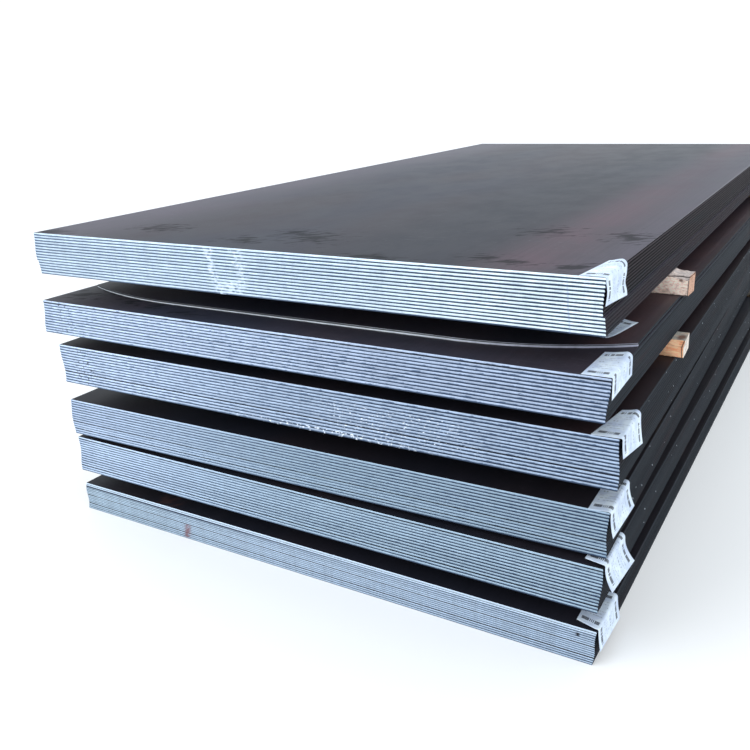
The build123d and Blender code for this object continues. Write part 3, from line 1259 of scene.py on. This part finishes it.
def timberOutline(x, size, look, seed):
    # the section at one place along the timber
    shape = timberShape
    _, depth, height = size
    bark = shape["barkShare"] + shape["barkUneven"] * wave(seed, x * shape["barkPitch"])
    waneDepth, waneHeight = (value * mm * bark for value in look["wane"])
    drop = look["endDrop"] * softStep(x, shape["dropFrom"], shape["dropTo"])
    head = height - drop * (1 + shape["dropUneven"] * wave(seed, x * shape["dropPitch"], 5))
    corners = [
        Vector((-depth / 2 + waneDepth, head)),
        Vector((depth / 2, head)),
        Vector((depth / 2, 0)),
        Vector((-depth / 2 + look["toe"], 0)),
        Vector((-depth / 2, head - waneHeight)),
    ]
    return roundedSection(corners, shape["sideSteps"], shape["cornerRadius"])


def roughSide(x, point, side, height, openEnd, look, seed):
    # how far in or out a point of the section lies: uneven, chipped and split
    shape = timberShape
    y, z = point
    bend, fine = (wave(seed, x * p, y * q, z * r) for p, q, r in (shape["bend"], shape["fine"]))
    inward = 0.5 + shape["bendShare"] * bend + shape["fineShare"] * fine
    if side in (sideBack, sideFront, sideWane):
        y -= math.copysign(max(0.0, shape["uneven"] * inward), y)
    if side == sideFront and z < shape["chipHeight"]:
        chips = wave(seed, x * shape["chipPitch"], 2)
        chips += shape["notchShare"] * wave(seed, x * shape["notchPitch"], 4)
        y += shape["chips"] * max(0.0, chips) * (1 - z / shape["chipHeight"])
    if side in (sideBack, sideFront):
        crack = openEnd * max(0.0, 1 - abs(z / height - look["split"]) * shape["sideSteps"])
        y -= math.copysign(shape["splitDepth"] * crack, y)
    return y


def timberMesh(name, size, look, chance):
    shape = timberShape
    length, depth, height = size
    spread = shape["seedSpread"]
    seed = Vector((chance.uniform(-spread, spread), chance.uniform(-spread, spread), 0))
    slopes = [(chance.uniform(-1, 1), chance.uniform(-1, 1)) for _ in range(2)]
    splitReach = [shape["splitReach"] * chance.uniform(shape["splitLeast"], 1.0) for _ in range(2)]
    margin = shape["endSlope"] * (depth + height) / 2
    slant = look["endSlant"]
    points, ends, sides = [], [], []
    for k in range(shape["stations"] + 1):
        x = -length / 2 * math.cos(math.pi * k / shape["stations"])  # closer together near the ends
        right = 1 if x > 0 else 0
        outline = timberOutline(x, size, look, seed)
        sides = [side for _, side in outline]
        slopeY, slopeZ = slopes[right]
        nearEnd = (2 * abs(x) / length) ** shape["endPower"]
        openEnd = max(0.0, 1 - (length / 2 - abs(x)) / splitReach[right])
        for point, side in outline:
            y, z = roughSide(x, point, side, height, openEnd, look, seed), point.y
            cut = shape["endSlope"] * (slopeY * y + slopeZ * (z - height / 2)) + margin
            if right:
                cut += max(slant, 0.0) * (depth / 2 + y) + max(-slant, 0.0) * (depth / 2 - y)
            points.append((x - math.copysign(cut * nearEnd, x), y, z))
            ends.append(openEnd)
    count = len(sides)
    faces, kinds = [], []
    for k in range(shape["stations"]):
        for i in range(count):
            j = (i + 1) % count
            low, high = k * count, (k + 1) * count
            faces.append((low + i, high + i, high + j, low + j))
            kinds.append({sideTop: woodWeathered, sideWane: look["waneKind"]}.get(sides[i], woodSawn))
    faces.append(list(range(count)))
    faces.append([shape["stations"] * count + i for i in range(count)][::-1])
    mesh = bpy.data.meshes.new(name)
    mesh.from_pydata(points, [], faces)
    mesh.attributes.new("nearEnd", "FLOAT", "POINT").data.foreach_set("value", ends)
    whole = bmesh.new()
    whole.from_mesh(mesh)
    bmesh.ops.recalc_face_normals(whole, faces=whole.faces)
    whole.to_mesh(mesh)
    whole.free()
    mesh.polygons.foreach_set("material_index", kinds + [woodEnd, woodEnd])
    smoothShade(mesh, shape["sharpAngle"])
    return mesh


def timberLook(row, side, island, chance):
    look = {**timberBase, **timberLooks[row]}
    middle, size, bottom = island["middle"], island["size"], island["bottom"]
    look["pithY"] = middle.y + chance.uniform(*timberShape["pithAside"])
    look["pithZ"] = bottom - chance.uniform(*timberShape["pithBelow"])
    look["footZ"] = bottom
    look["cornerX"] = middle.x + size.x / 2 - timberGrain["cornerInset"]
    look["splitZ"] = bottom + look["split"] * size.z
    if side == "back":
        look["tone"] = timberShape["backTone"]
        for key in ("pale", "dark", "grey", "weathered", "endPale", "endDark"):
            look[key] = timberBase[key]
    return look


def makeTimber(row, number, side):
    node = f"bearer_{row}_{side}"
    name = f"bearer{row}{side.capitalize()}"
    island = readIslands(node, 0)[0]
    chance = random.Random(100 * row + number)
    look = timberLook(row, side, island, chance)
    mesh = timberMesh(name, island["size"], look, chance)
    for kind, word in ((woodSawn, "sawnTimber"), (woodEnd, "endGrain"), (woodWeathered, "barkEdge")):
        mesh.materials.append(timberFinish(f"{word}{row}{side}", look, kind))
    seat = Vector((island["middle"].x, island["middle"].y, island["bottom"]))
    mesh.transform(Matrix.Translation(seat) @ Matrix.Rotation(island["turn"], 4, "Z"))
    dressPiece(addObject(name, mesh), node)


def makeTimbers():
    for row in timberLooks:
        for number, side in enumerate(("front", "back")):
            makeTimber(row, number, side)
        print("timbers of row", row)


# paper labels folded over the packs' right front corners

labelShape = {
    "thickness": 0.25 * mm,
    "clear": 0.4 * mm,
    "tuckSteps": 22,
    "foldSteps": 7,
    "hangSteps": 30,
    "alongSteps": 44,
    "liftCurve": 1.5,
    "seedPlace": (3.7, 1.3, 0),  # how far apart the noise of two labels lies
    "crumple": (5, 5, 0),  # waves to the label's length and width, and where in the noise
    "fineCrumple": (13, 11, 3),
    "fineShare": 0.5,
    "puffLeast": 0.6,
    "puffFrom": (1.6, 0.1),  # the paper lies close at the tucked edge
    "swayWaves": (3.1, 9.5),
    "rippleFrom": (0.5, 0.75),
    "waistFrom": (0.4, 1.0),
    "slewTo": 0.45,
}
labelBase = {
    "length": 128,
    "wrinkle": 0.5,
    "ripple": 0.0,  # waves of the hanging side
    "waist": 0.0,  # how far the back edge draws in half way down
    "slew": 0.0,  # how far the tucked front corner lies back
}
# Front and back end, in millimetres: width on top, lift of the tucked edge, lift of the fold, drop,
# swing of the hem, stand-off of the fold and its radius. All but curl and seed are millimetres.
labelLooks = {
    1: {
        "front": (40, 2, 5, 43, 5, 2.5, 3),
        "back": (42, 1, 2.6, 48, 6.5, 2.6, 7),
        "curl": 1.5,
        "seed": 21,
        "ahead": -2,
        "length": 122,
        "slew": 16,
    },
    2: {
        "front": (34, 6, 8, 47, 14, 3, 3),
        "back": (34, 1, 2.4, 50, 19, 2.8, 8),
        "curl": 2.0,
        "seed": 22,
        "ahead": 1,
        "slew": 12,
    },
    3: {
        "front": (35, 0.4, 2.5, 47, 6, 2.2, 5),
        "back": (35, 0.4, 2.0, 47, 11, 2.0, 6),
        "curl": 1.9,
        "seed": 23,
        "ahead": 1,
    },
    4: {
        "front": (48, 0.4, 1.8, 34, 2.5, 1.5, 3),
        "back": (29, 0.4, 4.5, 58, 6, 1.6, 8),
        "curl": 1.6,
        "seed": 24,
        "ahead": 0,
        "length": 121,
    },
    5: {
        "front": (47, 0.2, 0.9, 36, 0.5, 0.8, 2),
        "back": (43, 1.0, 6.0, 38, 0.5, 1.2, 9),
        "curl": 1.0,
        "seed": 25,
        "ahead": -3,
        "length": 117,
    },
    6: {
        "front": (40, 0.2, 0.9, 44, 1, 0.8, 2),
        "back": (27, 0.4, 3.8, 57, 1, 1.2, 9),
        "curl": 1.0,
        "seed": 26,
        "ahead": 1,
        "length": 121,
        "ripple": 2.2,
        "waist": 8,
        "wrinkle": 1.6,
    },
}
printLook = {
    "paper": srgb(232, 244, 255),
    "creaseShade": srgb(200, 214, 237),
    "ink": srgb(46, 50, 60),
    "fibre": ((700, 700, 700), 3.0, 0.6),
    "crease": ((45, 45, 45), 4.0, 0.6),
    "creaseStep": (0.3, 0.7),
    "margins": ((0.06, 0.07), (0.93, 0.92)),  # no print nearer to the tucked edge and the hem
    "foldClear": (0.03, 0.05),
    "rowFade": 0.006,
    "blockGap": (0.05, 0.16),
    "seedStep": 977,
    "rough": 0.6,
    "gloss": 0.25,
    "relief": (0.06 * mm, 0.4),
    # place along the label, width, blocks, share left blank, darkness
    "rows": (
        (0.135, 0.070, 54.0, 0.20, 0.92),
        (0.860, 0.066, 54.0, 0.22, 0.92),
        (0.300, 0.012, 70.0, 0.35, 0.45),
        (0.370, 0.012, 62.0, 0.40, 0.40),
        (0.440, 0.010, 68.0, 0.50, 0.40),
        (0.560, 0.030, 34.0, 0.62, 0.45),
        (0.640, 0.012, 66.0, 0.40, 0.40),
        (0.710, 0.012, 72.0, 0.45, 0.40),
    ),
}


def paperFinish(name):
    # white stock with plain rows of blocks and dashes in place of print
    look = printLook
    skin = Finish(name)
    u, v, _ = skin.parts(skin.out("ShaderNodeUVMap"))
    fibre, crease = skin.clouds(look, "fibre", "crease")
    # painted shade of wrinkles, bluish grey, laid by noise
    colour = skin.blend(skin.ease(crease, *look["creaseStep"]), look["creaseShade"], look["paper"])
    inside = skin.times(*[skin.ease(v, *margin) for margin in look["margins"]])
    inside = skin.times(inside, skin.ease(skin.away(v, 0.5), *look["foldClear"]))
    ink = 0.0
    for place, width, cells, blank, dark in look["rows"]:
        row = skin.ease(skin.away(u, place), width / 2 + look["rowFade"], width / 2)
        steps = skin.times(v, cells)
        seed = skin.plus(skin.calc("FLOOR", steps), place * look["seedStep"])
        chosen = skin.out("ShaderNodeTexWhiteNoise", {"W": seed}, noise_dimensions="1D")
        gap = skin.ease(skin.calc("FRACT", steps), *look["blockGap"])
        block = skin.times(skin.calc("GREATER_THAN", chosen, blank), gap, row, inside, dark)
        ink = skin.calc("MAXIMUM", ink, block)
    skin.set(Base_Color=skin.blend(ink, colour, look["ink"]), Roughness=look["rough"])
    skin.set(Specular_IOR_Level=look["gloss"], Normal=skin.bump(fibre, *look["relief"]))
    return skin.material


def foldProfile(values, curl):
    # from the tucked edge over the fold to the hem: x from the pack's side, z from its top
    shape = labelShape
    tuck, tuckLift, lift, drop, swing, out, radius = values
    clear = shape["clear"]
    foldX, foldZ = out + clear, clear + lift
    line = []
    for k in range(shape["tuckSteps"]):
        share = k / shape["tuckSteps"]
        rise = tuckLift + (lift - tuckLift) * share ** shape["liftCurve"]
        line.append((-tuck + (tuck + foldX - radius) * share, clear + rise))
    for k in range(shape["foldSteps"]):
        angle = math.pi / 2 * k / shape["foldSteps"]
        line.append((foldX - radius + radius * math.sin(angle), foldZ - radius + radius * math.cos(angle)))
    for k in range(shape["hangSteps"] + 1):
        share = k / shape["hangSteps"]
        line.append((foldX + swing * share ** curl, foldZ - radius - (drop - radius) * share))
    return line


def runShares(line):
    # how far along the profile each point is, from 0 to 1
    runs = [0.0]
    for first, second in zip(line, line[1:]):
        runs.append(runs[-1] + math.dist(first, second))
    return [run / runs[-1] for run in runs]


def paperMesh(name, grid, across):
    # grid[i][k]: i along the label's length, k from the tucked edge to the hem, across[i][k] its share
    rows, columns = len(grid), len(grid[0])
    points = [point for line in grid for point in line]
    faces = []
    for i in range(rows - 1):
        for k in range(columns - 1):
            a = i * columns + k
            faces.append((a, a + columns, a + columns + 1, a + 1))
    mesh = bpy.data.meshes.new(name)
    mesh.from_pydata(points, [], faces)
    layer = mesh.uv_layers.new(name="print")
    for loop in mesh.loops:
        i, k = divmod(loop.vertex_index, columns)
        layer.data[loop.index].uv = (i / (rows - 1), across[i][k])
    mesh.polygons.foreach_set("use_smooth", [True] * len(mesh.polygons))
    return mesh


def addPaper(name, mesh, paper, node):
    mesh.materials.append(paper)
    piece = addObject(name, mesh)
    thick = piece.modifiers.new("paper", "SOLIDIFY")
    thick.thickness = labelShape["thickness"]
    thick.offset = 1.0
    bakeModifiers(piece)
    dressPiece(piece, node)


def makeLabel(number, plates, paper):
    shape = labelShape
    look = {**labelBase, **labelLooks[number]}
    sizes = [look[key] * mm for key in ("wrinkle", "ripple", "waist", "slew", "length")]
    wrinkle, ripple, waist, slew, length = sizes
    firsts, lasts = [[value * mm for value in look[end]] for end in ("front", "back")]
    turn = Matrix.Rotation(plates[0]["turn"], 4, "Z")
    back = turn.inverted()
    top = plates[-1]["top"]
    lowest = top - max(firsts[3], lasts[3])
    sides = [(back @ item["middle"]).x + item["size"].x / 2 for item in plates if item["top"] > lowest]
    fronts = [(back @ item["middle"]).y - item["size"].y / 2 for item in plates]
    side, front = max(sides), min(fronts) - look["ahead"] * mm
    seed = Vector([look["seed"] * place for place in shape["seedPlace"]])
    crumples = (shape["crumple"], shape["fineCrumple"])
    puffRate, puffStart = shape["puffFrom"]
    swayAlong, swayDown = shape["swayWaves"]
    grid, across = [], []
    for i in range(shape["alongSteps"] + 1):
        share = i / shape["alongSteps"]
        values = [first + (last - first) * share for first, last in zip(firsts, lasts)]
        profile = foldProfile(values, look["curl"])
        shares = runShares(profile)
        line = []
        for (x, z), v in zip(profile, shares):
            broad, fine = (wave(seed, share * p, v * q, r) for p, q, r in crumples)
            puff = max(0.0, wrinkle * (shape["puffLeast"] + broad + shape["fineShare"] * fine))
            puff *= math.sin(math.pi * min(1.0, puffRate * v + puffStart)) ** 2
            sway = 0.5 + 0.5 * math.sin(look["seed"] + swayAlong * share + swayDown * v)
            x += ripple * sway * softStep(v, *shape["rippleFrom"])
            drawnIn = waist * share * math.sin(math.pi * softStep(v, *shape["waistFrom"])) ** 2
            laidBack = slew * (1 - share) * max(0.0, 1 - v / shape["slewTo"])
            y = front + length * share - drawnIn + laidBack
            line.append(turn @ Vector((side + x + puff * v, y, top + z + puff * (1 - v))))
        grid.append(line)
        across.append(shares)
    addPaper(f"label{number}", paperMesh(f"label{number}", grid, across), paper, f"label_{number}")


looseLabelShape = {
    "steps": (28, 22),
    "hump": 5.0 * mm,
    "humpFrom": (0.1, 1.0),
    "frontCurl": 4.0 * mm,
    "curlTo": 0.4,
    "ripple": 0.5 * mm,
    "rippleWaves": 4,
    "seed": Vector((0, 0, 9)),
}


def makeLooseLabel(paper):
    # lies on the loose plate, arched a little and with its front corner raised
    shape = looseLabelShape
    island = readIslands("loose_label", 1)[0]
    width, length = island["size"].x, island["size"].y
    turn = Matrix.Translation(island["middle"]) @ Matrix.Rotation(island["turn"], 4, "Z")
    rows, columns = shape["steps"]
    waves = shape["rippleWaves"]
    grid, across = [], []
    for i in range(rows + 1):
        u = i / rows
        shares = [k / columns for k in range(columns + 1)]
        line = []
        for v in shares:
            curl = shape["hump"] * math.sin(math.pi * softStep(v, *shape["humpFrom"])) ** 2
            curl += shape["frontCurl"] * max(0.0, 1 - u / shape["curlTo"]) ** 2 * v
            curl += shape["ripple"] * wave(shape["seed"], u * waves, v * waves)
            line.append(turn @ Vector((width * (v - 0.5), length * (u - 0.5), max(0.0, curl))))
        grid.append(line)
        across.append(shares)
    addPaper("looseLabel", paperMesh("looseLabel", grid, across), paper, "loose_label")


# studio: white floor, soft light, the photograph's camera

studio = {
    "skyStrength": 1.25,
    "sky": (0.88, 0.945, 1.0, 1.0),
    "floorSize": 120.0,
    "floorColour": (0.80, 0.80, 0.80, 1.0),
    "floorRough": 0.9,
    "glowColour": (1.0, 1.0, 1.0, 1.0),
    "floorGlow": 0.22,  # keeps the shade beside the stack soft
    "keyPlace": (-2.6, -5.2, 2.6),
    "keyAim": (0.0, -1.2, 0.3),
    "keySize": 3.5,
    "keyPower": 110.0,
}
camera = {
    "place": (0.92485, -2.43707, 0.95692),
    "yaw": 31.3349,
    "pitch": -19.2833,
    "roll": 2.2479,
    "lens": 39.661,
    "sensor": 36.0,
    "shiftX": 0.0043,
    "shiftY": -0.0016,
}


def makeStudio():
    scene = bpy.context.scene
    scene.view_settings.view_transform = "Standard"
    world = bpy.data.worlds.new("studio")
    world.use_nodes = True
    background = world.node_tree.nodes["Background"]
    background.inputs["Color"].default_value = studio["sky"]
    background.inputs["Strength"].default_value = studio["skyStrength"]
    scene.world = world
    half = studio["floorSize"] / 2
    mesh = bpy.data.meshes.new("floor")
    corners = [(-half, -half, 0), (half, -half, 0), (half, half, 0), (-half, half, 0)]
    mesh.from_pydata(corners, [], [(0, 1, 2, 3)])
    floor = addObject("floor", mesh)
    pale = Finish("floorPale")
    pale.set(Base_Color=studio["floorColour"], Roughness=studio["floorRough"], Specular_IOR_Level=0.0)
    pale.set(Emission_Color=studio["glowColour"], Emission_Strength=studio["floorGlow"])
    mesh.materials.append(pale.material)
    lamp = bpy.data.lights.new("key", "AREA")
    lamp.size = studio["keySize"]
    lamp.energy = studio["keyPower"]
    key = addObject("key", lamp)
    key.location = studio["keyPlace"]
    aim = Vector(studio["keyAim"]) - Vector(studio["keyPlace"])
    key.rotation_mode = "QUATERNION"
    key.rotation_quaternion = aim.to_track_quat("-Z", "Y")
    print("studio ready")


def makeCamera():
    lens = bpy.data.cameras.new("camera")
    lens.sensor_width = camera["sensor"]
    lens.lens = camera["lens"]
    lens.shift_x = camera["shiftX"]
    lens.shift_y = camera["shiftY"]
    eye = addObject("camera", lens)
    turn = Matrix.Rotation(math.radians(camera["yaw"]), 3, "Z")
    turn = turn @ Matrix.Rotation(math.radians(camera["pitch"]), 3, "X")
    turn = turn @ Matrix.Rotation(math.radians(camera["roll"]), 3, "Y")
    level = Matrix.Rotation(math.radians(90), 3, "X")  # looks along +Y before it is turned
    eye.matrix_world = Matrix.Translation(camera["place"]) @ (turn @ level).to_4x4()
    bpy.context.scene.camera = eye
    print("camera ready")


def main():
    packPlates = makePacks()
    makeLoosePlate()
    makeTimbers()
    paper = paperFinish("labelPaper")
    for number, plates in packPlates.items():
        makeLabel(number, plates, paper)
    makeLooseLabel(paper)
    print("labels ready")
    makeStudio()
    makeCamera()


main()
